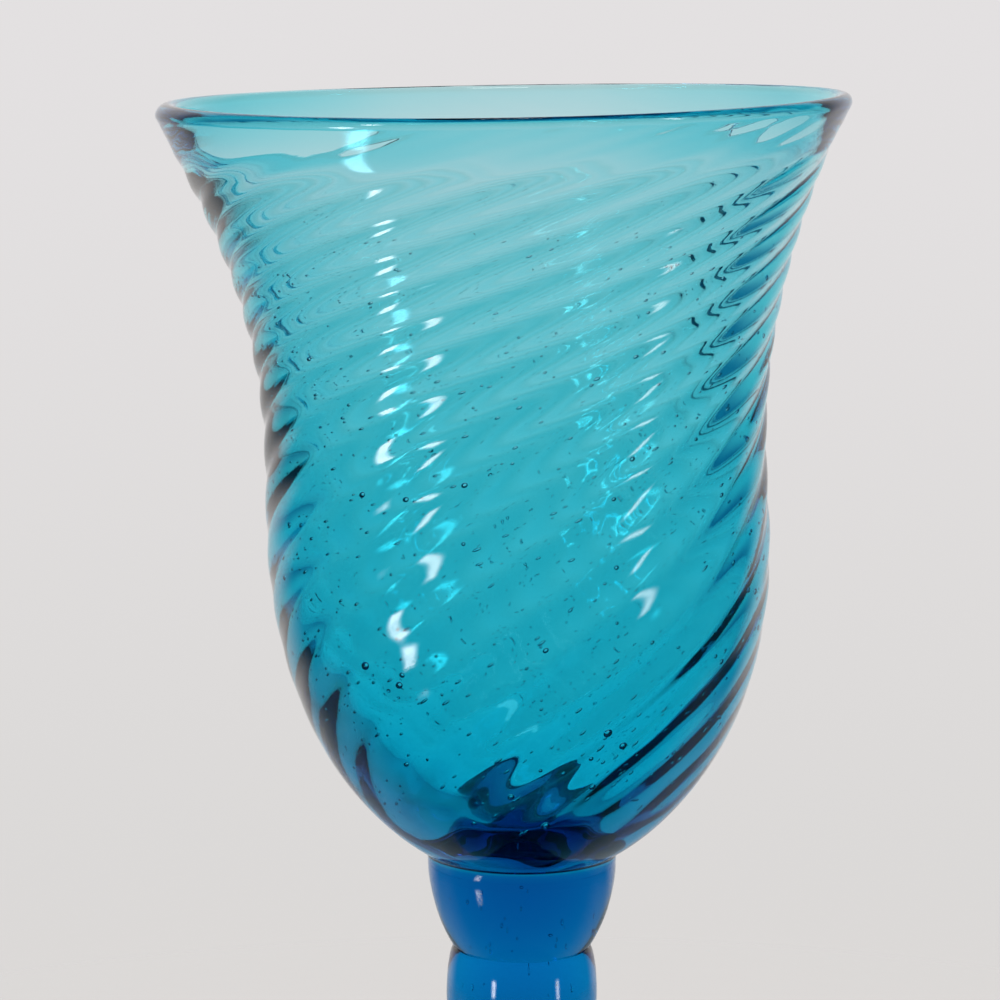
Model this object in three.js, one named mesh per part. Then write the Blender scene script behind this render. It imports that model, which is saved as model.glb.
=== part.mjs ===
// Bubble glass goblet: a blown bowl with swirled ribs on a cup-shaped collar, a stem of four beads and a
// spread foot. Every piece is a bit of hot glass, fused to the next one on a flat round seat.
// Millimetres, +Z up. The origin is the centre of the ring that the foot rests on.
import * as THREE from "three";

// Bowl outside. Heights are above the seat where the bowl meets its collar.
const bowlHeight = 104.1;
const lipRadius = 46;
const lipBeadRadius = 1.25;
const lipFlare = THREE.MathUtils.degToRad(27.5);
const lipHandle = 32;
const bellyRadius = 33.9;
const bellyHeight = 45.4;
const bellyHandleUp = 13.1;
const bellyHandleDown = 26.5;
const neckSpread = 7.4;
const neckLift = 4.3;
const neckHeight = 1.7;
const neckFillet = 0.35;

// Bowl inside: thin right under the lip's bead, then thicker and thicker down to the floor
const lipWall = 0.85;
const lipTaper = THREE.MathUtils.degToRad(30);
const lipFade = 3.6;
const fadeHandle = 1;
const wallHandle = 27.5;
const bellyWall = 3;
const bellyHandleIn = 14;
const floorThickness = 5.4;
const floorSpread = 17.3;
const floorHandle = 23.5;

// Swirled ribs, pressed into the gather and twisted as it was blown out
const ribCount = 18;
const ribDepth = 0.42;
const ribFadeIn = [30, 87];
const ribFadeOut = [92, 100];
const swirlLow = THREE.MathUtils.degToRad(2.5);
const swirlHigh = THREE.MathUtils.degToRad(4.4);
const swirlRise = [46, 84];

// Collar, beads and the seats between them, counted from the bowl downwards
const bowlSeatRadius = 12.9;
const collarHeight = 11.9;
const collarSwell = 1.4;
const collarCurve = 2.1;
const collarHandle = 5;
const beadCount = 4;
const beadLength = 13;
const beadLengthStep = 0.6;
const beadRadius = 10.4;
const beadRadiusStep = 0.35;
const creaseRadius = 9.35;
const creaseRadiusStep = 0.28;
const beadShoulder = [0.55, 0.6];
const beadHandle = 3.2;

// Foot
const footRadius = 38;
const footHeight = 14;
const footEdge = 3.4;
const footSpread = [22, 4.8];
const footRise = [1.4, 6.5];
const restWidth = 3.2;
const kickHeight = 3.6;
const kickHandle = 8;

// Rough disc that the pontil iron left under the foot
const scarRadius = 8.5;
const scarThickness = 1.3;
const scarRim = 0.6;

// Facets
const bowlSegments = ribCount * 5;
const stemSegments = 36;
const footSegments = 48;
const scarSegments = 24;

const bowlGlass = { color: 0x3fb2c8, roughness: 0.04, metalness: 0, transparent: true, opacity: 0.55 };
const stemGlass = { color: 0x0a6fb4, roughness: 0.04, metalness: 0, transparent: true, opacity: 0.7 };
const scarGlass = { color: 0x2f8fc0, roughness: 0.35, metalness: 0, transparent: true, opacity: 0.7 };

// A profile is a list of points (radius, height) that runs from the axis, up the outside, back to the axis.
function sampled(path, divisions) {
  const points = [path.curves[0].getPoint(0)];
  path.curves.forEach((curve, i) => points.push(...curve.getSpacedPoints(divisions[i]).slice(1)));
  return points;
}

// A turned solid with its axis on Z. Angle 0 is the front (-Y) and angles grow towards +X.
function turned(profile, segments) {
  const geometry = new THREE.LatheGeometry(profile, segments);
  geometry.rotateX(Math.PI / 2);
  return geometry;
}

function smoothstep(from, to, value) {
  return THREE.MathUtils.smoothstep(value, from, to);
}

// The angle that the ribs have turned through at a height: the rate climbs from low to high on the rise.
function swirlAngle(height) {
  const [start, end] = swirlRise;
  const t = Math.max(0, (height - start) / (end - start));
  const risen = t < 1 ? t ** 3 - t ** 4 / 2 : t - 0.5;
  return swirlLow * height + (swirlHigh - swirlLow) * (end - start) * risen;
}

function ribDepthAt(height) {
  const fadeIn = smoothstep(ribFadeIn[0], ribFadeIn[1], height);
  const fadeOut = 1 - smoothstep(ribFadeOut[0], ribFadeOut[1], height);
  return ribDepth * fadeIn * fadeOut;
}

// Turns each ring of the outside wall with the swirl, and lifts broad lobes between narrow grooves.
// Past the lip the rings keep the turn of the lip, so the inside wall is smooth.
function addSwirl(geometry, profile, lastOutside) {
  const position = geometry.getAttribute("position");
  const mean = 2 / Math.PI;
  for (let i = 0; i < position.count; i++) {
    const station = i % profile.length;
    const angle = (Math.floor(i / profile.length) / bowlSegments) * 2 * Math.PI;
    const outside = station <= lastOutside;
    const height = profile[Math.min(station, lastOutside)].y;
    const lobe = Math.abs(Math.sin((ribCount * angle) / 2)) - mean;
    const radius = profile[station].x + (outside ? ribDepthAt(height) * lobe : 0);
    const turn = angle + swirlAngle(height);
    position.setXY(i, radius * Math.sin(turn), -radius * Math.cos(turn));
  }
  geometry.computeVertexNormals();
}

function bowlGeometry() {
  const lipCentre = new THREE.Vector2(lipRadius - lipBeadRadius, bowlHeight - lipBeadRadius);
  const along = new THREE.Vector2(Math.sin(lipFlare), Math.cos(lipFlare));
  const outward = new THREE.Vector2(Math.cos(lipFlare), -Math.sin(lipFlare));
  const fromLip = (down, out) => lipCentre.clone().addScaledVector(along, -down).addScaledVector(outward, out);
  const outerEnd = fromLip(0, lipBeadRadius);
  const outerHandle = fromLip(lipHandle, lipBeadRadius);
  const taper = lipTaper - lipFlare;
  const taperOut = new THREE.Vector2(-Math.cos(taper), -Math.sin(taper));
  const taperStart = lipCentre.clone().addScaledVector(taperOut, lipBeadRadius);
  const taperWay = new THREE.Vector2(Math.sin(taper), -Math.cos(taper));
  const taperHandle = taperStart.clone().addScaledVector(taperWay, fadeHandle);
  const wallNear = fromLip(lipFade - fadeHandle, lipBeadRadius - lipWall);
  const wallEnd = fromLip(lipFade, lipBeadRadius - lipWall);
  const wallFar = fromLip(lipFade + wallHandle, lipBeadRadius - lipWall);
  const innerRadius = bellyRadius - bellyWall;
  const neckRadius = bowlSeatRadius + neckFillet;

  const path = new THREE.Path();
  path.moveTo(0, 0);
  path.lineTo(bowlSeatRadius, 0);
  path.quadraticCurveTo(bowlSeatRadius, neckHeight - neckFillet, neckRadius, neckHeight);
  path.bezierCurveTo(
    neckRadius + neckSpread, neckHeight + neckLift,
    bellyRadius, bellyHeight - bellyHandleDown,
    bellyRadius, bellyHeight,
  );
  path.bezierCurveTo(
    bellyRadius, bellyHeight + bellyHandleUp,
    outerHandle.x, outerHandle.y,
    outerEnd.x, outerEnd.y,
  );
  path.absarc(lipCentre.x, lipCentre.y, lipBeadRadius, -lipFlare, Math.PI + taper, false);
  path.bezierCurveTo(taperHandle.x, taperHandle.y, wallNear.x, wallNear.y, wallEnd.x, wallEnd.y);
  path.bezierCurveTo(
    wallFar.x, wallFar.y,
    innerRadius, bellyHeight + bellyHandleIn,
    innerRadius, bellyHeight,
  );
  path.bezierCurveTo(
    innerRadius, bellyHeight - floorHandle,
    floorSpread, floorThickness,
    0, floorThickness,
  );
  const divisions = [1, 1, 9, 20, 6, 3, 6, 7];
  const profile = sampled(path, divisions);
  const lastOutside = divisions.slice(0, 4).reduce((sum, count) => sum + count, 0);
  const geometry = turned(profile, bowlSegments);
  addSwirl(geometry, profile, lastOutside);
  return geometry;
}

// Cup-shaped collar: narrow at the first crease, wide and upright under the bowl.
function collarGeometry() {
  const path = new THREE.Path();
  path.moveTo(0, 0);
  path.lineTo(creaseRadius, 0);
  path.bezierCurveTo(
    creaseRadius + collarSwell, collarCurve,
    bowlSeatRadius, collarHeight - collarHandle,
    bowlSeatRadius, collarHeight,
  );
  path.lineTo(0, collarHeight);
  return turned(sampled(path, [1, 7, 1]), stemSegments);
}

// Barrel-shaped bead between two creases
function beadGeometry(length, radius, lowerCrease, upperCrease) {
  const [shoulderOut, shoulderUp] = beadShoulder;
  const middle = length / 2;
  const path = new THREE.Path();
  path.moveTo(0, 0);
  path.lineTo(lowerCrease, 0);
  path.bezierCurveTo(lowerCrease + shoulderOut, shoulderUp, radius, middle - beadHandle, radius, middle);
  path.bezierCurveTo(
    radius, middle + beadHandle,
    upperCrease + shoulderOut, length - shoulderUp,
    upperCrease, length,
  );
  path.lineTo(0, length);
  return turned(sampled(path, [1, 4, 4, 1]), stemSegments);
}

// Spread foot: a rounded edge, a rise that sweeps up to the stem, and a shallow kick inside the rest ring.
function footGeometry(stemRadius) {
  const edgeRadius = footEdge / 2;
  const restOuter = footRadius - edgeRadius;
  const restInner = restOuter - restWidth;
  const path = new THREE.Path();
  path.moveTo(0, kickHeight);
  path.lineTo(scarRadius, kickHeight);
  path.bezierCurveTo(scarRadius + kickHandle, kickHeight, restInner - kickHandle, 0, restInner, 0);
  path.lineTo(restOuter, 0);
  path.absarc(restOuter, edgeRadius, edgeRadius, -Math.PI / 2, Math.PI / 2, false);
  path.bezierCurveTo(
    footSpread[0], footSpread[1],
    stemRadius + footRise[0], footRise[1],
    stemRadius, footHeight,
  );
  path.lineTo(0, footHeight);
  return turned(sampled(path, [1, 3, 1, 5, 8, 1]), footSegments);
}

// Shallow disc with a broken-off rim, flat where it sticks to the foot
function scarGeometry() {
  const path = new THREE.Path();
  path.moveTo(0, scarRim);
  path.quadraticCurveTo(scarRadius / 2, scarRim, scarRadius - scarRim * 2, 0);
  path.quadraticCurveTo(scarRadius - scarRim, scarRim / 4, scarRadius - scarRim / 2, scarThickness);
  path.lineTo(0, scarThickness);
  return turned(sampled(path, [2, 2, 1]), scarSegments);
}

function piece(name, geometry, glass, height) {
  const mesh = new THREE.Mesh(geometry, new THREE.MeshStandardMaterial(glass));
  mesh.name = name;
  mesh.position.z = height;
  return mesh;
}

function creaseAt(index) {
  return creaseRadius - creaseRadiusStep * index;
}

// The pieces are stacked from the foot up, each on the flat seat of the one below it.
function goblet() {
  const group = new THREE.Group();
  group.add(piece("pontil_scar", scarGeometry(), scarGlass, kickHeight - scarThickness));
  group.add(piece("foot", footGeometry(creaseAt(beadCount)), stemGlass, 0));
  let height = footHeight;
  for (let i = beadCount - 1; i >= 0; i--) {
    const length = beadLength - beadLengthStep * i;
    const geometry = beadGeometry(length, beadRadius - beadRadiusStep * i, creaseAt(i + 1), creaseAt(i));
    group.add(piece(`stem_bead_${i + 1}`, geometry, stemGlass, height));
    height += length;
  }
  group.add(piece("bowl_collar", collarGeometry(), stemGlass, height));
  height += collarHeight;
  group.add(piece("bowl", bowlGeometry(), bowlGlass, height));
  return group;
}

export default goblet();
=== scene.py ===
"""Bubble glass goblet: a blown bowl with swirled ribs, a cup-shaped collar, a beaded stem and a spread foot.

Metres, +Z up. Each piece of glass is drawn as half an outline, spun about the stem's axis and then
worked: the bowl is ribbed, twisted and leaned. The pieces meet on flat seats, where the glass is fused and
shows no face.
"""

import math
import random

import bpy
from mathutils import Matrix, Vector, noise
from mathutils.geometry import interpolate_bezier


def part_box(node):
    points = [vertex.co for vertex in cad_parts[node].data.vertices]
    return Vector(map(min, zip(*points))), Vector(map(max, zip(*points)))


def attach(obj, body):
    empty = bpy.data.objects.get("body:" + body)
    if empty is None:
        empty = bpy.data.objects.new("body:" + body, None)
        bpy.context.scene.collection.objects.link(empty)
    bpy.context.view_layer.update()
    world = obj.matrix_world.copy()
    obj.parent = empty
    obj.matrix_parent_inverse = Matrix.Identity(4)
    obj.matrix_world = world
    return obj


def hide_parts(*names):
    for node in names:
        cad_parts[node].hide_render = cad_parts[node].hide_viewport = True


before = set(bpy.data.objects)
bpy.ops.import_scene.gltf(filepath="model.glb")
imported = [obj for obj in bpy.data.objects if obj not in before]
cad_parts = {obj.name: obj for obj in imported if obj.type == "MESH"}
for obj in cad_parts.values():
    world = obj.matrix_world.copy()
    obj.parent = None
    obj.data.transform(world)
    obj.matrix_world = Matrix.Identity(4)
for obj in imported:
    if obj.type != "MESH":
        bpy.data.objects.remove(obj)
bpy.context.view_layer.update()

MM = 0.001

# What the frame gives
bowl_low, bowl_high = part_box("bowl")
collar_low, collar_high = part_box("bowl_collar")
_, foot_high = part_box("foot")
scar_low, scar_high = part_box("pontil_scar")
bead_boxes = [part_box(f"stem_bead_{i}") for i in (1, 2, 3, 4)]
lip_radius = bowl_high.x
seat_radius = collar_high.x
bowl_height = bowl_high.z - bowl_low.z

# Bowl outside, from its seat upwards
lip_bead = 1.25 * MM
lip_flare = math.radians(27.5)
lip_handle = 32 * MM
belly_radius = 33.9 * MM
belly_height = 45.4 * MM
belly_handle_up = 13.1 * MM
belly_handle_down = 26.5 * MM
neck_spread = 7.4 * MM
neck_lift = 4.3 * MM
neck_height = 1.7 * MM
neck_fillet = 0.35 * MM

# Bowl inside
lip_wall = 0.7 * MM
lip_taper = math.radians(13)
lip_fade = 8 * MM
fade_handle = 3 * MM
wall_handle = 18 * MM
belly_wall = 3.5 * MM
belly_handle_in = 18 * MM
floor_thickness = 5.6 * MM
floor_spread = 15.5 * MM
floor_handle = 21.5 * MM

# Swirled ribs
rib_count = 18
rib_depth = 0.42 * MM
groove_round = 0.9
lobe_mean = 0.58
rib_fade_in = (8 * MM, 76 * MM)
rib_fade_out = (92 * MM, 100 * MM)
swirl_low = math.radians(2.5) / MM
swirl_high = math.radians(4.4) / MM
swirl_rise = (46 * MM, 84 * MM)

# What the glassmaker's hand left: a lean to the left, a tilted lip and a soft waviness
lean = 2.55 * MM
lean_height = 97 * MM
lip_tilt = math.radians(1.05)
lip_tilt_rise = (50 * MM, 100 * MM)
wave_rise = (2 * MM, 25 * MM)
wave_size = 22 * MM
wave_depth = 0.16 * MM
ripple_size = 7 * MM
ripple_depth = 0.05 * MM
dimple_size = 5 * MM
dimple_depth = 0.05 * MM
floor_wave_size = 6 * MM
floor_wave_depth = 0.9 * MM
floor_wave_end = (6 * MM, 16 * MM)
stem_wave_size = 9 * MM
stem_wave_depth = 0.14 * MM
axis_reach = 1 * MM

# Where the unevenness of the inside is read, apart from that of the outside
inside_offset = Vector((0.3, 0.1, 0.2))

# The lip is thick at the sides, most at the left: its mean share of the full thickness, what the left and
# both sides add to it, how far below the lip's middle that starts, and how far down it is worked at all
lip_share = 0.82
lip_left = 0.14
lip_sides = 0.26
lip_reach = 9 * MM
lip_work_height = 8 * MM

# Shallow ribs that the twisting left on the lower inside
inner_rib_depth = 0.11 * MM
inner_rib_rise = (7 * MM, 20 * MM)
inner_rib_end = (45 * MM, 75 * MM)

# Air bubbles: the faces round and along each, and what the random draws for the bowl and the stem start from
bubble_columns = 8
bubble_rings = 6
bowl_chance = 7
stem_chance = 11

# Bubbles in the bowl's wall: how many, and the least and most of half their width
fine_seeds = (1300, 0.08 * MM, 0.2 * MM)
round_seeds = (100, 0.22 * MM, 0.4 * MM)
seed_heights = (10 * MM, 95 * MM)

# How many times as long as wide a bubble is, when it is thinner than this and when it isn't
thin_seed = 0.2 * MM
thin_stretch = (1.1, 3.5)
round_stretch = (1, 1.3)

# How far a bubble keeps from the wall's outside and from both sides, and the most of the room that it fills
seed_skin = 0.1 * MM
seed_margin = 0.3 * MM
seed_fill = 0.42

# Large bubbles: half their width and how it varies, their length and depth, and the angle in degrees and the
# height in mm of each
large_seed = 0.5 * MM
large_spread = (0.8, 1.2)
large_stretch = 1.1
large_depth = 0.3
large_seeds = (
    (-39, 32.5), (-30, 30.5), (27, 22.3), (22, 24.3), (-3.5, 15.5), (8, 11),
    (150, 26), (100, 40), (-120, 18),
)

# Bubbles in the collar and the beads: how many and half their width, their length, and how far they keep
# from the side and from both ends
stem_seeds = (90, 0.06 * MM, 0.16 * MM)
stem_stretch = (1, 4)
stem_skin = 2 * MM
stem_end = 1.5 * MM

# Creases of the stem, from the collar downwards
crease_radius = 9.35 * MM
crease_step = 0.28 * MM
collar_swell = 1.4 * MM
collar_curve = 2.1 * MM
collar_handle = 5 * MM
shoulder_out = 0.55 * MM
shoulder_up = 0.6 * MM
bead_handle = 3.2 * MM

# Foot and scar
foot_edge = 3.4 * MM
foot_spread = (22 * MM, 4.8 * MM)
foot_rise = (1.4 * MM, 6.5 * MM)
rest_width = 3.2 * MM
kick_height = 3.6 * MM
kick_handle = 8 * MM
scar_rim = 0.6 * MM

# Half the hair's breadth that keeps two fused faces apart, and what counts as a flat face at a seat
joint_gap = 0.01 * MM
seat_reach = 0.02 * MM
flat_normal = 0.99

# Faces round the axis
bowl_columns = rib_count * 14
stem_columns = 96
foot_columns = 144
scar_columns = 64

# Faces along the outlines
seat_steps = 12
fillet_steps = 3
lower_steps = 64
upper_steps = 84
lip_steps = 8
fade_steps = 16
wall_steps = 40
cap_steps = 8
collar_steps = 28
bead_steps = 14
kick_steps = 24
rest_steps = 3
edge_steps = 8
rise_steps = 48
dish_steps = 10
rim_steps = 6

# How close points are merged, in metres, and the edge angle up to which a face is shaded smooth
outline_merge = 1e-7
spun_merge = 1e-6
smooth_angle = math.radians(35)

# Points read along each stretch of the bowl's wall to place the bubbles
wall_samples = 60

# Glass: what a metre takes from red, green and blue light, and faint streaks on its surface
glass_ior = 1.51
bowl_taken = (450, 62, 32)
stem_taken = (480, 90, 36)
streak_scale = 60
streak_detail = 3
streak_depth = 0.01 * MM
drawn_streaks = (1, 1, 0.25)
even_streaks = (1, 1, 1)
scar_streaks = (6, 6, 6)
scar_streak_depth = 0.1 * MM
scar_roughness = 0.35

# How often light may bounce inside the glass
light_bounces = 24

# Camera at the photograph's place
camera_place = (-0.0030, -0.466, 0.1999)
camera_tilt = math.radians(80.78)
camera_lens = 126
camera_sensor = 36
camera_clip = 0.01

# Lamp above
lamp_elevation = math.radians(85)
lamp_aim = Vector((0, 0, 0.12))
lamp_distance = 1.0
lamp_size = 0.2
lamp_power = 0.5

# Pale backdrop, a little darker below, and the dark room at the front that the glass mirrors
pale_wall = (0.77, 0.75, 0.755)
low_wall = (0.705, 0.69, 0.68)
wall_rise = (-0.32, 0.0)
dark_room = (0.02, 0.17, 0.29)
backdrop_edge = (0.5, 0.85)

# Windows in that room: azimuth from the camera's side to the right and elevation in degrees, brightness
windows = (
    ((-47, -40), (-10, 2), 12),
    ((-61, -53), (-33, -21), 15),
    ((53, 59), (-13, -1), 8),
)
pane_soft_across = math.radians(2.5)
pane_soft_upward = math.radians(2)

# Floor: a pale disc that fades into the backdrop
floor_radius = 0.4
floor_drop = 0.1 * MM
floor_fade = (0.08, 0.3)
floor_front = (-0.02, 0.06)
floor_sides = 128
floor_white = (0.7, 0.685, 0.675)
floor_glow = (0.17, 0.165, 0.155)
# Painted light: the floor's glow seen through the glass is brighter, in place of the light that the glass
# lets through onto it
painted_light_under_glass = (0.42, 0.41, 0.4)
# Painted shade: the teal shadow that the glass throws on the table in front, on the floor's front as the
# glass mirrors it
painted_teal_shadow = (0.1, 0.6, 0.75)


def deselect_all():
    if bpy.context.object and bpy.context.object.mode != "OBJECT":
        bpy.ops.object.mode_set(mode="OBJECT")
    bpy.ops.object.select_all(action="DESELECT")


def line(start, end, steps):
    """A straight stretch of an outline: an end, two handles, an end and its steps."""
    start, end = Vector(start), Vector(end)
    return start, start.lerp(end, 1 / 3), start.lerp(end, 2 / 3), end, steps


def curve(start, first, second, end, steps):
    return Vector(start), Vector(first), Vector(second), Vector(end), steps


def arc(centre, radius, start, end, steps):
    """An arc as stretches of a quarter circle or less, from one angle to another."""
    parts = math.ceil(abs(end - start) / (math.pi / 2))
    turn = (end - start) / parts
    reach = 4 / 3 * math.tan(turn / 4) * radius
    stretches = []
    for i in range(parts):
        a, b = start + i * turn, start + (i + 1) * turn
        p = Vector(centre) + radius * Vector((math.cos(a), math.sin(a)))
        q = Vector(centre) + radius * Vector((math.cos(b), math.sin(b)))
        first = p + reach * Vector((-math.sin(a), math.cos(a)))
        second = q - reach * Vector((-math.sin(b), math.cos(b)))
        stretches.append((p, first, second, q, steps))
    return stretches


def drawn(name, outline, height):
    """The outline as a chain of edges in the XZ plane, lifted to its height."""
    deselect_all()
    bpy.ops.curve.primitive_bezier_curve_add(location=(0, 0, 0))
    piece = bpy.context.object
    piece.name = name
    piece.data.splines.clear()
    for start, first, second, end, steps in outline:
        spline = piece.data.splines.new("BEZIER")
        spline.bezier_points.add(1)
        spline.resolution_u = steps
        for point, place in zip(spline.bezier_points, (start, end)):
            point.handle_left_type = point.handle_right_type = "FREE"
            point.co = (place.x, 0, place.y + height)
            point.handle_left = point.handle_right = point.co
        spline.bezier_points[0].handle_right = (first.x, 0, first.y + height)
        spline.bezier_points[1].handle_left = (second.x, 0, second.y + height)
    bpy.ops.object.convert(target="MESH")
    piece = bpy.context.object
    piece.data.name = name
    bpy.ops.object.mode_set(mode="EDIT")
    bpy.ops.mesh.select_all(action="SELECT")
    bpy.ops.mesh.remove_doubles(threshold=outline_merge)
    bpy.ops.object.mode_set(mode="OBJECT")
    return piece


def spun(piece, columns):
    """The outline turned once round the axis, closed, with its faces outwards."""
    bpy.ops.object.mode_set(mode="EDIT")
    bpy.ops.mesh.select_all(action="SELECT")
    bpy.ops.mesh.spin(steps=columns, angle=2 * math.pi, center=(0, 0, 0), axis=(0, 0, 1))
    bpy.ops.mesh.select_all(action="SELECT")
    bpy.ops.mesh.remove_doubles(threshold=spun_merge)
    bpy.ops.mesh.normals_make_consistent(inside=False)
    bpy.ops.object.mode_set(mode="OBJECT")
    return piece


def mark_joints(piece, *seats):
    """Marks the flat faces at each seat, where the glass runs on. A seat is its height and its radius."""
    marks = piece.data.attributes.new("joint", "FLOAT", "FACE")
    for face, mark in zip(piece.data.polygons, marks.data):
        seated = any(
            abs(face.center.z - height) < seat_reach and face.center.xy.length < radius
            for height, radius in seats
        )
        mark.value = 1.0 if seated and abs(face.normal.z) > flat_normal else 0.0


def smooth(piece):
    deselect_all()
    piece.select_set(True)
    bpy.context.view_layer.objects.active = piece
    bpy.ops.object.shade_smooth_by_angle(angle=smooth_angle)


def smoothstep(start, end, value):
    t = min(1.0, max(0.0, (value - start) / (end - start)))
    return t * t * (3 - 2 * t)


def swirl_angle(height):
    """How far the ribs have turned at a height: the rate climbs from low to high on the rise."""
    start, end = swirl_rise
    t = max(0.0, (height - start) / (end - start))
    risen = t**3 - t**4 / 2 if t < 1 else t - 0.5
    return swirl_low * height + (swirl_high - swirl_low) * (end - start) * risen


def rib_lobe(angle):
    """A broad lobe between narrow grooves that are rounded at the bottom, about zero on average."""
    wave = math.hypot(math.sin(rib_count * angle / 2), groove_round)
    return (wave - groove_round) / (math.hypot(1, groove_round) - groove_round) - lobe_mean


def rib_depth_at(height):
    return rib_depth * smoothstep(*rib_fade_in, height) * (1 - smoothstep(*rib_fade_out, height))


def inner_rib_depth_at(height):
    fade_in = smoothstep(*inner_rib_rise, height)
    return inner_rib_depth * fade_in * (1 - smoothstep(*inner_rib_end, height))


def waviness(place, size, depth):
    """A smooth push in or out, which repeats on every run."""
    return depth * noise.noise(place / size)


# The lip in its outline: its middle, the way up along the wall, and the way outwards, square to the wall
lip_middle = Vector((lip_radius - lip_bead, bowl_height - lip_bead))
lip_up = Vector((math.sin(lip_flare), math.cos(lip_flare)))
lip_out = Vector((math.cos(lip_flare), -math.sin(lip_flare)))


def uneven_lip(radius, height, angle):
    """Makes the lip thick at the sides, most at the left, and thin at the front and back."""
    place = Vector((radius, height)) - lip_middle
    up = place.dot(lip_up)
    depth = lip_bead - place.dot(lip_out)
    share = lip_share - lip_left * math.sin(angle) - lip_sides * math.cos(2 * angle)
    share = 1 + (share - 1) * smoothstep(-lip_reach, 0, up)
    place = lip_middle + up * lip_up + (lip_bead - depth * share) * lip_out
    return place.x, place.y


def bowl_outside():
    """The bowl's outline from the middle of its seat up to the lip."""
    neck = Vector((seat_radius + neck_fillet, neck_height))
    corner = Vector((seat_radius, neck_height - neck_fillet))
    seat_edge = Vector((seat_radius, joint_gap))
    belly = Vector((belly_radius, belly_height))
    lip_edge = lip_middle + lip_bead * lip_out
    return [
        line((0, joint_gap), seat_edge, seat_steps),
        curve(seat_edge, seat_edge.lerp(corner, 2 / 3), neck.lerp(corner, 2 / 3), neck, fillet_steps),
        curve(
            neck, neck + Vector((neck_spread, neck_lift)),
            belly - Vector((0, belly_handle_down)), belly, lower_steps,
        ),
        curve(
            belly, belly + Vector((0, belly_handle_up)),
            lip_edge - lip_handle * lip_up, lip_edge, upper_steps,
        ),
    ]


def bowl_inside(lip_end):
    """The bowl's outline from the angle where the lip's arc ends down to the middle of its floor."""
    inner_belly = Vector((belly_radius - belly_wall, belly_height))
    wall_start = lip_middle + lip_bead * Vector((math.cos(lip_end), math.sin(lip_end)))
    wall_way = Vector((-math.sin(lip_end), math.cos(lip_end)))
    wall_end = lip_middle - lip_fade * lip_up + (lip_bead - lip_wall) * lip_out
    return [
        curve(
            wall_start, wall_start + fade_handle * wall_way,
            wall_end + fade_handle * lip_up, wall_end, fade_steps,
        ),
        curve(
            wall_end, wall_end - wall_handle * lip_up,
            inner_belly + Vector((0, belly_handle_in)), inner_belly, wall_steps,
        ),
        curve(
            inner_belly, inner_belly - Vector((0, floor_handle)),
            (floor_spread, floor_thickness), (0, floor_thickness), wall_steps,
        ),
    ]


def bowl_outline():
    """The bowl's outside, its lip and its inside."""
    lip_end = math.pi - lip_flare + lip_taper
    lip = arc(lip_middle, lip_bead, -lip_flare, lip_end, lip_steps)
    return bowl_outside(), lip, bowl_inside(lip_end)


def mark_inside(piece):
    """Marks the inner wall on the bowl's outline, which is all that comes after its highest point."""
    marks = piece.data.attributes.new("inside", "FLOAT", "POINT")
    order = chain(piece.data)
    top = max(range(len(order)), key=lambda i: piece.data.vertices[order[i]].co.z)
    for place, index in enumerate(order):
        marks.data[index].value = 1.0 if place > top else 0.0


def chain(mesh):
    """The outline's vertices in order, from the middle of its seat."""
    beside = {}
    for edge in mesh.edges:
        a, b = edge.vertices
        beside.setdefault(a, []).append(b)
        beside.setdefault(b, []).append(a)
    ends = [i for i, near in beside.items() if len(near) == 1]
    here = min(ends, key=lambda i: mesh.vertices[i].co.z)
    order, before = [here], None
    while True:
        ahead = [i for i in beside[order[-1]] if i != before]
        if not ahead:
            return order
        before = order[-1]
        order.append(ahead[0])


def leaned(place):
    """Leans a point of the bowl with its height and tilts it with the lip."""
    height = place.z - bowl_low.z
    place = place.copy()
    place.x -= lean * min(1.0, height / lean_height) ** 2
    place.z += place.x * math.tan(lip_tilt) * smoothstep(*lip_tilt_rise, height)
    return place


def twisted(start, inner):
    """Where a point of the plain bowl comes to lie: ribbed, turned with the swirl and a little uneven."""
    height = start.z - bowl_low.z
    radius = math.hypot(start.x, start.y)
    angle = math.atan2(start.x, -start.y)
    if inner:
        radius += inner_rib_depth_at(height) * math.cos(rib_count * angle)
    else:
        radius += rib_depth_at(height) * rib_lobe(angle)
    angle += swirl_angle(height)
    grown = smoothstep(*wave_rise, height)
    if height > bowl_height - lip_work_height:
        radius, height = uneven_lip(radius, height, angle)
    place = Vector((radius * math.sin(angle), -radius * math.cos(angle), bowl_low.z + height))
    if inner:
        low = 1 - smoothstep(*floor_wave_end, height)
        place.z += waviness(place + inside_offset, floor_wave_size, floor_wave_depth) * low
    if radius <= axis_reach:
        return place
    if inner:
        push = waviness(place + inside_offset, wave_size, wave_depth)
        push += waviness(place + inside_offset, ripple_size, ripple_depth)
    else:
        push = waviness(place, wave_size, wave_depth)
        push += waviness(start, dimple_size, dimple_depth)
    place.xy *= (radius + grown * push) / radius
    return place


def work_bowl(piece):
    """Twists and leans the bowl, and keeps with each point where it lay in the gather before that."""
    mesh = piece.data
    inside = mesh.attributes["inside"].data
    gather = mesh.attributes.new("gather", "FLOAT_VECTOR", "POINT")
    for vertex, inner, blank in zip(mesh.vertices, inside, gather.data):
        blank.vector = vertex.co
        vertex.co = leaned(twisted(vertex.co.copy(), inner.value > 0.5))


def work_round(piece):
    """Makes a turned bit of glass a little uneven, less so at its seats."""
    heights = [vertex.co.z for vertex in piece.data.vertices]
    low, high = min(heights), max(heights)
    for vertex in piece.data.vertices:
        radius = vertex.co.xy.length
        if radius < axis_reach:
            continue
        share = (vertex.co.z - low) / (high - low)
        push = waviness(vertex.co, stem_wave_size, stem_wave_depth) * math.sin(math.pi * share)
        vertex.co.xy *= (radius + push) / radius


def dress(piece, material, node):
    """Gives a piece of glass its material, its body and the solid that it takes the place of."""
    smooth(piece)
    piece.data.materials.clear()
    piece.data.materials.append(material)
    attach(piece, "root")
    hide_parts(node)


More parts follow.
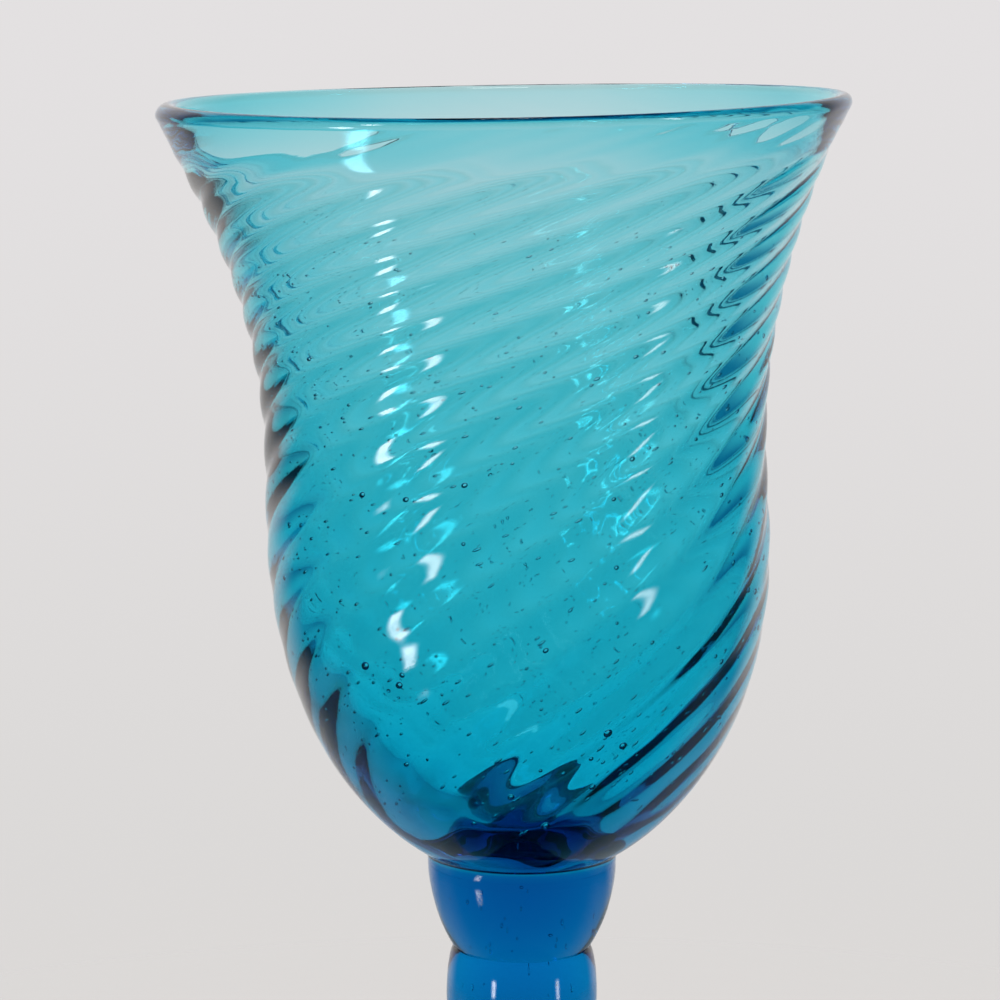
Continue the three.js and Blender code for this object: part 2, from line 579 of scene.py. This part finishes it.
def add(tree, kind, **settings):
    node = tree.nodes.new(kind)
    for name, value in settings.items():
        setattr(node, name, value)
    return node


def sums(tree, operation, first, second=0.0, third=0.0):
    """A Math node, with each input a number or a socket."""
    node = add(tree, "ShaderNodeMath", operation=operation)
    for socket, value in zip(node.inputs, (first, second, third)):
        if isinstance(value, (int, float)):
            socket.default_value = value
        else:
            tree.links.new(value, socket)
    return node.outputs[0]


def blank_material(name):
    material = bpy.data.materials.new(name)
    material.use_nodes = True
    material.node_tree.nodes.clear()
    return material, material.node_tree


def glass(name, taken, roughness, streaks, depth, in_gather=False):
    """Solid coloured glass, whose streaks lie in the gather before its twist, or in the finished piece."""
    material, tree = blank_material(name)
    link = tree.links.new
    out = add(tree, "ShaderNodeOutputMaterial")
    clear = add(tree, "ShaderNodeBsdfPrincipled")
    clear.inputs["Base Color"].default_value = (1, 1, 1, 1)
    clear.inputs["Transmission Weight"].default_value = 1.0
    clear.inputs["Roughness"].default_value = roughness
    clear.inputs["IOR"].default_value = glass_ior
    joint = add(tree, "ShaderNodeAttribute", attribute_name="joint")
    link(sums(tree, "SUBTRACT", 1.0, joint.outputs["Fac"]), clear.inputs["Alpha"])

    grain = add(tree, "ShaderNodeTexNoise")
    grain.inputs["Scale"].default_value = streak_scale
    grain.inputs["Detail"].default_value = streak_detail
    place = add(tree, "ShaderNodeMapping")
    place.inputs["Scale"].default_value = streaks
    if in_gather:
        source = add(tree, "ShaderNodeAttribute", attribute_name="gather").outputs["Vector"]
    else:
        source = add(tree, "ShaderNodeTexCoord").outputs["Object"]
    link(source, place.inputs["Vector"])
    link(place.outputs["Vector"], grain.inputs["Vector"])
    bump = add(tree, "ShaderNodeBump")
    bump.inputs["Strength"].default_value = 1.0
    bump.inputs["Distance"].default_value = depth
    link(grain.outputs["Fac"], bump.inputs["Height"])
    link(bump.outputs["Normal"], clear.inputs["Normal"])

    most = max(taken)
    body = add(tree, "ShaderNodeVolumeAbsorption")
    body.inputs["Density"].default_value = most
    body.inputs["Color"].default_value = (*(1 - part / most for part in taken), 1)
    link(clear.outputs["BSDF"], out.inputs["Surface"])
    link(body.outputs["Volume"], out.inputs["Volume"])
    return material


def bubble_glass(name):
    """The wall of an air bubble: light goes from glass into air as it enters."""
    material, tree = blank_material(name)
    out = add(tree, "ShaderNodeOutputMaterial")
    wall = add(tree, "ShaderNodeBsdfPrincipled")
    wall.inputs["Base Color"].default_value = (1, 1, 1, 1)
    wall.inputs["Transmission Weight"].default_value = 1.0
    wall.inputs["Roughness"].default_value = 0.0
    wall.inputs["IOR"].default_value = 1 / glass_ior
    tree.links.new(wall.outputs["BSDF"], out.inputs["Surface"])
    return material


def make_bowl(material):
    """The bowl, spun from its outline and then ribbed, twisted and leaned."""
    outside, lip, inside = bowl_outline()
    piece = drawn("bowl_glass", outside + lip + inside, bowl_low.z)
    mark_inside(piece)
    spun(piece, bowl_columns)
    mark_joints(piece, (bowl_low.z + joint_gap, seat_radius))
    work_bowl(piece)
    dress(piece, material, "bowl")


def heights_and_radii(stretches):
    """Points along stretches of an outline, as heights and radii from the lowest up."""
    points = []
    for start, first, second, end, _ in stretches:
        points.extend(interpolate_bezier(start, first, second, end, wall_samples))
    return sorted((point.y, point.x) for point in points)


def wall_sides():
    """The bowl's wall outside and inside, without its seat, its lip and the fade under the lip."""
    outside, _, inside = bowl_outline()
    return heights_and_radii(outside[2:]), heights_and_radii(inside[1:])


def radius_at(side, height):
    """The radius of one side of the wall at a height."""
    for (low, radius_low), (high, radius_high) in zip(side, side[1:]):
        if low <= height <= high and high > low:
            return radius_low + (radius_high - radius_low) * (height - low) / (high - low)
    return side[-1][1]


def seeded(name, seeds, material):
    """One object of many small bubbles, each given by its middle, its way, and half its width and length."""
    deselect_all()
    bpy.ops.mesh.primitive_uv_sphere_add(segments=bubble_columns, ring_count=bubble_rings, radius=1)
    pattern = bpy.context.object
    bpy.ops.object.shade_smooth()
    copies = []
    for middle, way, width, length in seeds:
        copy = pattern.copy()
        copy.data = pattern.data.copy()
        bpy.context.scene.collection.objects.link(copy)
        turn = way.to_track_quat("Z", "Y").to_matrix().to_4x4()
        copy.matrix_world = Matrix.Translation(middle) @ turn @ Matrix.Diagonal((width, width, length, 1))
        copies.append(copy)
    bpy.data.objects.remove(pattern)
    for copy in copies:
        copy.select_set(True)
    bpy.context.view_layer.objects.active = copies[0]
    bpy.ops.object.join()
    bpy.ops.object.transform_apply()
    piece = bpy.context.object
    piece.name = piece.data.name = name
    piece.data.materials.clear()
    piece.data.materials.append(material)
    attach(piece, "root")


def wall_seed(sides, angle, height, width, stretch, depth):
    """A bubble in the bowl's wall, drawn out along the swirl. Depth runs from 0 outside to 1 inside."""
    outer, inner = (radius_at(side, height) for side in sides)
    rib = rib_depth_at(height)
    room = outer - inner - 2 * rib - seed_margin
    width = min(width, seed_fill * room)
    radius = outer - rib - seed_skin - width - depth * max(0.0, room - 2 * width)
    rate = swirl_low if height < swirl_rise[0] else swirl_high
    way = Vector((math.cos(angle) * radius * rate, math.sin(angle) * radius * rate, 1)).normalized()
    middle = Vector((radius * math.sin(angle), -radius * math.cos(angle), bowl_low.z + height))
    return leaned(middle), way, width, width * stretch


def make_bowl_seeds(material):
    """Bubbles strewn through the wall, and some large ones at chosen places."""
    chance = random.Random(bowl_chance)
    sides = wall_sides()
    seeds = []
    for count, least, most in (fine_seeds, round_seeds):
        for _ in range(count):
            height = chance.uniform(*seed_heights)
            width = chance.uniform(least, most)
            stretch = chance.uniform(*(thin_stretch if width < thin_seed else round_stretch))
            angle = chance.uniform(-math.pi, math.pi)
            seeds.append(wall_seed(sides, angle, height, width, stretch, chance.random()))
    for degrees, height in large_seeds:
        width = large_seed * chance.uniform(*large_spread)
        angle = math.radians(degrees)
        seeds.append(wall_seed(sides, angle, height * MM, width, large_stretch, large_depth))
    seeded("bowl_seeds", seeds, material)


def make_stem_seeds(material):
    """Bubbles inside the collar and the beads, drawn out along the stem."""
    chance = random.Random(stem_chance)
    count, least, most = stem_seeds
    seeds = []
    for _ in range(count):
        angle = chance.uniform(-math.pi, math.pi)
        radius = (crease_radius - stem_skin) * math.sqrt(chance.random())
        box_low, box_high = chance.choice([(collar_low, collar_high), *bead_boxes])
        height = chance.uniform(box_low.z + stem_end, box_high.z - stem_end)
        width = chance.uniform(least, most)
        middle = Vector((radius * math.sin(angle), -radius * math.cos(angle), height))
        seeds.append((middle, Vector((0, 0, 1)), width, width * chance.uniform(*stem_stretch)))
    seeded("stem_seeds", seeds, material)


def make_collar(material):
    """The cup-shaped bit of glass between the bowl and the first bead."""
    low, high = joint_gap, collar_high.z - collar_low.z - joint_gap
    outline = [
        line((0, low), (crease_radius, low), cap_steps),
        curve(
            (crease_radius, low), (crease_radius + collar_swell, collar_curve),
            (seat_radius, high - collar_handle), (seat_radius, high), collar_steps,
        ),
        line((seat_radius, high), (0, high), seat_steps),
    ]
    piece = spun(drawn("collar_glass", outline, collar_low.z), stem_columns)
    mark_joints(piece, (collar_low.z + low, seat_radius), (collar_low.z + high, seat_radius))
    work_round(piece)
    dress(piece, material, "bowl_collar")


def make_bead(index, box, material):
    """One bead of the stem, between the crease below it and the wider one above it."""
    bead_low, bead_high = box
    upper = crease_radius - crease_step * index
    lower = upper - crease_step
    low, high = joint_gap, bead_high.z - bead_low.z - joint_gap
    middle, radius = (low + high) / 2, bead_high.x
    outline = [
        line((0, low), (lower, low), cap_steps),
        curve(
            (lower, low), (lower + shoulder_out, low + shoulder_up),
            (radius, middle - bead_handle), (radius, middle), bead_steps,
        ),
        curve(
            (radius, middle), (radius, middle + bead_handle),
            (upper + shoulder_out, high - shoulder_up), (upper, high), bead_steps,
        ),
        line((upper, high), (0, high), cap_steps),
    ]
    piece = spun(drawn(f"bead_glass_{index + 1}", outline, bead_low.z), stem_columns)
    mark_joints(piece, (bead_low.z + low, seat_radius), (bead_low.z + high, seat_radius))
    work_round(piece)
    dress(piece, material, f"stem_bead_{index + 1}")


def make_foot(material):
    """The foot with its rounded edge, its rest ring and the kick above the scar."""
    edge = foot_edge / 2
    rest_outer = foot_high.x - edge
    rest_inner = rest_outer - rest_width
    stem = crease_radius - crease_step * len(bead_boxes)
    high = foot_high.z - joint_gap
    kick = kick_height + joint_gap
    scar_seat = scar_high.x - scar_rim / 2
    outline = [
        line((0, kick), (scar_seat, kick), cap_steps),
        curve(
            (scar_seat, kick), (scar_seat + kick_handle, kick_height),
            (rest_inner - kick_handle, 0), (rest_inner, 0), kick_steps,
        ),
        line((rest_inner, 0), (rest_outer, 0), rest_steps),
        *arc((rest_outer, edge), edge, -math.pi / 2, math.pi / 2, edge_steps),
        curve(
            (rest_outer, foot_edge), foot_spread,
            (stem + foot_rise[0], foot_rise[1]), (stem, high), rise_steps,
        ),
        line((stem, high), (0, high), cap_steps),
    ]
    piece = spun(drawn("foot_glass", outline, 0), foot_columns)
    mark_joints(piece, (kick, scar_seat), (high, stem))
    dress(piece, material, "foot")


def make_scar(material):
    """The broken disc under the foot: dished below, with a worn rim."""
    high = scar_high.z - joint_gap
    radius = scar_high.x
    rim = radius - scar_rim / 2
    dish = scar_low.z + scar_rim
    lowest = radius - 2 * scar_rim
    outline = [
        curve((0, dish), (radius / 3, dish), (radius / 1.5, dish), (lowest, scar_low.z), dish_steps),
        curve(
            (lowest, scar_low.z), (radius - scar_rim, scar_low.z),
            (rim, high - scar_rim), (rim, high), rim_steps,
        ),
        line((rim, high), (0, high), cap_steps),
    ]
    piece = spun(drawn("scar_glass", outline, 0), scar_columns)
    mark_joints(piece, (high, radius))
    dress(piece, material, "pontil_scar")


def let_light_through():
    """Lets light bounce and cross fused joints often enough to come out of the thick glass again."""
    cycles = bpy.context.scene.cycles
    cycles.max_bounces = light_bounces
    cycles.glossy_bounces = light_bounces
    cycles.transmission_bounces = light_bounces
    cycles.transparent_max_bounces = light_bounces


def make_camera():
    data = bpy.data.cameras.new("camera")
    data.sensor_width = camera_sensor
    data.lens = camera_lens
    data.clip_start = camera_clip
    camera = bpy.data.objects.new("camera", data)
    camera.location = camera_place
    camera.rotation_euler = (camera_tilt, 0, 0)
    bpy.context.scene.collection.objects.link(camera)
    bpy.context.scene.camera = camera


def ramp(tree, value, start, end):
    """0 at start, 1 at end, softly in between."""
    node = add(tree, "ShaderNodeMapRange", interpolation_type="SMOOTHSTEP")
    tree.links.new(value, node.inputs["Value"])
    node.inputs["From Min"].default_value = start
    node.inputs["From Max"].default_value = end
    return node.outputs[0]


def band(tree, value, start, end, soft):
    """1 between start and end, 0 outside, with soft edges."""
    rising = ramp(tree, value, start - soft, start + soft)
    falling = ramp(tree, value, end - soft, end + soft)
    return sums(tree, "SUBTRACT", rising, falling)


def blend(tree, share, first, second):
    """A mix of two colours, each a socket or a colour. They are the node's sockets 6 and 7."""
    node = add(tree, "ShaderNodeMix", data_type="RGBA")
    tree.links.new(share, node.inputs["Factor"])
    for socket, value in zip(node.inputs[6:8], (first, second)):
        if isinstance(value, tuple):
            socket.default_value = (*value, 1)
        else:
            tree.links.new(value, socket)
    return node.outputs[2]


def seen_by_way(tree, depth):
    """1 for light that has met the glass in one way on its way to the eye, 0 for all other light."""
    path = add(tree, "ShaderNodeLightPath")
    return sums(tree, "MINIMUM", path.outputs[depth], 1.0)


def make_world():
    """A pale backdrop all round. In what the glass mirrors it ends at the sides, before a dark room."""
    world = bpy.data.worlds.new("studio")
    bpy.context.scene.world = world
    world.use_nodes = True
    tree = world.node_tree
    tree.nodes.clear()
    out = add(tree, "ShaderNodeOutputWorld")
    background = add(tree, "ShaderNodeBackground")
    tree.links.new(background.outputs[0], out.inputs["Surface"])
    place = add(tree, "ShaderNodeTexCoord")
    split = add(tree, "ShaderNodeSeparateXYZ")
    tree.links.new(place.outputs["Generated"], split.inputs[0])
    x, y, z = split.outputs
    wall = blend(tree, ramp(tree, z, *wall_rise), low_wall, pale_wall)
    colour = blend(tree, ramp(tree, y, *backdrop_edge), dark_room, wall)
    azimuth = sums(tree, "ARCTAN2", x, sums(tree, "MULTIPLY", y, -1.0))
    elevation = sums(tree, "ARCSINE", z)
    light = 1.0
    for sides, heights, brightness in windows:
        across = band(tree, azimuth, *map(math.radians, sides), pane_soft_across)
        upward = band(tree, elevation, *map(math.radians, heights), pane_soft_upward)
        pane = sums(tree, "MULTIPLY", across, upward)
        colour = blend(tree, pane, colour, (1.0, 1.0, 1.0))
        light = sums(tree, "MULTIPLY_ADD", pane, brightness - 1.0, light)
    mirrored = seen_by_way(tree, "Glossy Depth")
    tree.links.new(blend(tree, mirrored, wall, colour), background.inputs["Color"])
    light = sums(tree, "MULTIPLY_ADD", mirrored, sums(tree, "SUBTRACT", light, 1.0), 1.0)
    tree.links.new(light, background.inputs["Strength"])


def make_lamp():
    """A soft box high above the camera's side, which faces the bowl."""
    data = bpy.data.lights.new("top_light", "AREA")
    data.shape = "RECTANGLE"
    data.size = data.size_y = lamp_size
    data.energy = lamp_power
    lamp = bpy.data.objects.new("top_light", data)
    way = Vector((0, -math.cos(lamp_elevation), math.sin(lamp_elevation)))
    lamp.location = lamp_aim + lamp_distance * way
    lamp.rotation_euler = (-way).to_track_quat("-Z", "Y").to_euler()
    lamp.visible_camera = False
    bpy.context.scene.collection.objects.link(lamp)


def floor_material():
    """Pale and matt, with painted shade at the front in what the glass mirrors, teal like the glass's shadow
    on the table, and painted light that makes it a little brighter through the glass.
    """
    material, tree = blank_material("floor")
    link = tree.links.new
    out = add(tree, "ShaderNodeOutputMaterial")
    matt = add(tree, "ShaderNodeBsdfDiffuse")
    gone = add(tree, "ShaderNodeBsdfTransparent")
    place = add(tree, "ShaderNodeTexCoord")
    split = add(tree, "ShaderNodeSeparateXYZ")
    link(place.outputs["Object"], split.inputs[0])
    # Painted shade: in what the glass mirrors, the front is teal and has no glow, as the glass's shadow on
    # the table
    front = sums(tree, "SUBTRACT", 1.0, ramp(tree, split.outputs[1], *floor_front))
    dark = sums(tree, "MULTIPLY", front, seen_by_way(tree, "Glossy Depth"))
    link(blend(tree, dark, floor_white, painted_teal_shadow), matt.inputs["Color"])
    glow = add(tree, "ShaderNodeEmission")
    # An even glow, and painted light that is a little brighter where the floor is seen through the glass
    under = blend(tree, seen_by_way(tree, "Transmission Depth"), floor_glow, painted_light_under_glass)
    link(blend(tree, dark, under, (0.0, 0.0, 0.0)), glow.inputs["Color"])
    lit = add(tree, "ShaderNodeAddShader")
    link(matt.outputs[0], lit.inputs[0])
    link(glow.outputs[0], lit.inputs[1])
    reach = add(tree, "ShaderNodeVectorMath", operation="LENGTH")
    link(place.outputs["Object"], reach.inputs[0])
    mix = add(tree, "ShaderNodeMixShader")
    link(ramp(tree, reach.outputs["Value"], *floor_fade), mix.inputs[0])
    link(lit.outputs[0], mix.inputs[1])
    link(gone.outputs[0], mix.inputs[2])
    link(mix.outputs[0], out.inputs["Surface"])
    return material


def make_floor():
    bpy.ops.mesh.primitive_circle_add(
        vertices=floor_sides, radius=floor_radius, fill_type="NGON", location=(0, 0, -floor_drop),
    )
    floor = bpy.context.object
    floor.name = "floor"
    floor.data.materials.append(floor_material())


bpy.context.scene.view_settings.view_transform = "Standard"
let_light_through()
make_camera()
make_world()
make_lamp()
make_floor()

bowl_material = glass("bowl_glass", bowl_taken, 0.0, drawn_streaks, streak_depth, in_gather=True)
stem_material = glass("stem_glass", stem_taken, 0.0, even_streaks, streak_depth)
foot_material = glass("foot_glass", stem_taken, 0.0, even_streaks, streak_depth)
scar_material = glass("scar_glass", stem_taken, scar_roughness, scar_streaks, scar_streak_depth)

make_bowl(bowl_material)
make_collar(stem_material)
for number, bead_box in enumerate(bead_boxes):
    make_bead(number, bead_box, stem_material)
make_foot(foot_material)
make_scar(scar_material)

seed_material = bubble_glass("seed_glass")
make_bowl_seeds(seed_material)
make_stem_seeds(seed_material)
